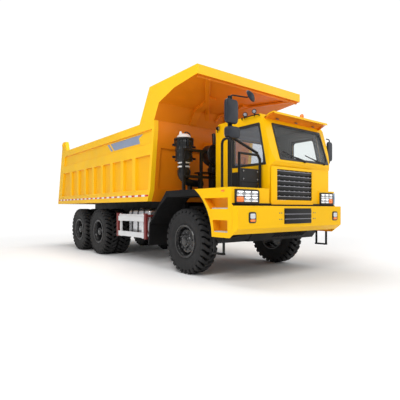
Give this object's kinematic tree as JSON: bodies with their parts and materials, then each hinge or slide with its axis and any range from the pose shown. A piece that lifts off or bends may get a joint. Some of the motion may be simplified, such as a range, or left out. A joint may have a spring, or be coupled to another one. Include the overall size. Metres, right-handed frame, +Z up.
{
  "type": "mining dump truck",
  "caption": "Wide off-road mining dump truck with an offset cab, steered front axle, twin-tyred rear bogie and a tilting load body with a canopy and tailgate.",
  "frame": {"origin": "on the floor under the middle of the truck's bounding box", "axes": "+Z up; -Y towards the front of the truck; +X towards its left side"},
  "size_m": [3.255, 9.54, 4.2],
  "materials": {
    "body_yellow": "gloss chrome-yellow paint",
    "chassis_black": "satin black chassis paint",
    "drive_grey": "satin dark grey paint",
    "rod_chrome": "polished hard chrome",
    "tank_aluminium": "brushed",
    "guard_white": "white rails with red-brown posts",
    "mudguard_plastic": "black moulded plastic",
    "mirror_grey": "dark slate grey",
    "filter_black": "semi-gloss black",
    "lamp_lens": "clear lens over a reflector",
    "tinted_glass": "grey-green tint",
    "seat_fabric": "woven dark grey",
    "tyre_rubber": "black rubber with a lugged tread",
    "wheel_black": "satin black"
  },
  "bodies": {
    "root": {"air_filter": "filter_black", "cab_grille": "mudguard_plastic", "cab_shell": "body_yellow", "cab_window_rear": "tinted_glass", "cab_window_right": "tinted_glass", "chassis_frame": "chassis_black", "dashboard": "mudguard_plastic", "drive_shaft": "drive_grey", "engine_block": "drive_grey", "equipment_frame": "chassis_black", "fender_left": "body_yellow", "fender_right": "body_yellow", "front_axle": "chassis_black", "front_bumper": "body_yellow", "fuel_tank": "tank_aluminium", "handrail_right": "chassis_black", "headlight_left": "lamp_lens", "headlight_right": "lamp_lens", "hydraulic_tank": "chassis_black", "middle_axle": "chassis_black", "mirror_left": "mirror_grey", "mirror_right": "mirror_grey", "mudguard_left": "mudguard_plastic", "mudguard_right": "mudguard_plastic", "muffler": "filter_black", "rear_axle": "chassis_black", "rear_suspension": "chassis_black", "seat": "seat_fabric", "side_guard_left": "guard_white", "side_guard_right": "guard_white", "steering_wheel": "mudguard_plastic", "step_left": "chassis_black", "windshield": "tinted_glass"},
    "bed": {"bed_floor": "body_yellow", "bed_side_right": "body_yellow", "bed_side_left": "body_yellow", "bed_front_wall": "body_yellow", "bed_canopy": "body_yellow"},
    "tailgate": {"tailgate": "body_yellow"},
    "door": {"cab_door": "body_yellow", "door_glass": "tinted_glass"},
    "hoist_barrel": {"hoist_barrel": "drive_grey"},
    "hoist_stage_1": {"hoist_stage_1": "drive_grey"},
    "hoist_stage_2": {"hoist_stage_2": "drive_grey"},
    "hoist_stage_3": {"hoist_stage_3": "drive_grey"},
    "hoist_rod": {"hoist_rod": "rod_chrome"},
    "knuckle_right": {"knuckle_right": "chassis_black"},
    "front_wheel_right": {"front_tyre_right": "tyre_rubber", "front_wheel_right": "wheel_black"},
    "middle_wheels_right": {"middle_tyres_right": "tyre_rubber", "middle_wheels_right": "wheel_black"},
    "rear_wheels_right": {"rear_tyres_right": "tyre_rubber", "rear_wheels_right": "wheel_black"},
    "knuckle_left": {"knuckle_left": "chassis_black"},
    "front_wheel_left": {"front_tyre_left": "tyre_rubber", "front_wheel_left": "wheel_black"},
    "middle_wheels_left": {"middle_tyres_left": "tyre_rubber", "middle_wheels_left": "wheel_black"},
    "rear_wheels_left": {"rear_tyres_left": "tyre_rubber", "rear_wheels_left": "wheel_black"}
  },
  "joints": [
    {"name": "bed_tilt", "type": "hinge", "parent": "root", "child": "bed", "pos_m": [0, 3.72, 1.3], "axis": [-1, 0, 0], "range_deg": [0, 45]},
    {"name": "tailgate_swing", "type": "hinge", "parent": "bed", "child": "tailgate", "pos_m": [0, 4.17, 3.62], "axis": [1, 0, 0], "range_deg": [0, 65]},
    {"name": "cab_door_swing", "type": "hinge", "parent": "root", "child": "door", "pos_m": [1.445, -4.43, 2.24], "axis": [0, 0, -1], "range_deg": [0, 70]},
    {"name": "steer_left", "type": "hinge", "parent": "root", "child": "knuckle_left", "pos_m": [1.08, -3.1, 0.68001], "axis": [0, 0, 1], "range_deg": [-32, 32]},
    {"name": "front_wheel_left_spin", "type": "hinge", "parent": "knuckle_left", "child": "front_wheel_left", "pos_m": [1.3575, -3.1, 0.68001], "axis": [1, 0, 0], "continuous": true},
    {"name": "middle_wheels_left_spin", "type": "hinge", "parent": "root", "child": "middle_wheels_left", "pos_m": [1.15, 1.31, 0.68001], "axis": [1, 0, 0], "continuous": true},
    {"name": "rear_wheels_left_spin", "type": "hinge", "parent": "root", "child": "rear_wheels_left", "pos_m": [1.15, 2.86, 0.68001], "axis": [1, 0, 0], "continuous": true},
    {"name": "steer_right", "type": "hinge", "parent": "root", "child": "knuckle_right", "pos_m": [-1.08, -3.1, 0.68001], "axis": [0, 0, 1], "range_deg": [-32, 32]},
    {"name": "front_wheel_right_spin", "type": "hinge", "parent": "knuckle_right", "child": "front_wheel_right", "pos_m": [-1.3575, -3.1, 0.68001], "axis": [1, 0, 0], "continuous": true},
    {"name": "middle_wheels_right_spin", "type": "hinge", "parent": "root", "child": "middle_wheels_right", "pos_m": [-1.15, 1.31, 0.68001], "axis": [1, 0, 0], "continuous": true},
    {"name": "rear_wheels_right_spin", "type": "hinge", "parent": "root", "child": "rear_wheels_right", "pos_m": [-1.15, 2.86, 0.68001], "axis": [1, 0, 0], "continuous": true},
    {"name": "hoist_lean", "type": "hinge", "parent": "root", "child": "hoist_barrel", "pos_m": [0, -2.3, 0.98], "axis": [-1, 0, 0], "range_deg": [0, 27.5]},
    {"name": "hoist_stage_1_slide", "type": "slide", "parent": "hoist_barrel", "child": "hoist_stage_1", "axis": [0, 0, 1], "range_m": [0, 1.13]},
    {"name": "hoist_stage_2_slide", "type": "slide", "parent": "hoist_stage_1", "child": "hoist_stage_2", "axis": [0, 0, 1], "range_m": [0, 1.13]},
    {"name": "hoist_stage_3_slide", "type": "slide", "parent": "hoist_stage_2", "child": "hoist_stage_3", "axis": [0, 0, 1], "range_m": [0, 1.13]},
    {"name": "hoist_rod_slide", "type": "slide", "parent": "hoist_stage_3", "child": "hoist_rod", "axis": [0, 0, 1], "range_m": [0, 1.13]}
  ],
  "couplings": [
    {"joint": "steer_right", "follows": "steer_left", "ratio": 1},
    {"joint": "hoist_lean", "follows": "bed_tilt", "ratio": 0.5975},
    {"joint": "hoist_stage_1_slide", "follows": "bed_tilt", "m_per_rad": 1.4261},
    {"joint": "hoist_stage_2_slide", "follows": "bed_tilt", "m_per_rad": 1.4261},
    {"joint": "hoist_stage_3_slide", "follows": "bed_tilt", "m_per_rad": 1.4261},
    {"joint": "hoist_rod_slide", "follows": "bed_tilt", "m_per_rad": 1.4261}
  ]
}
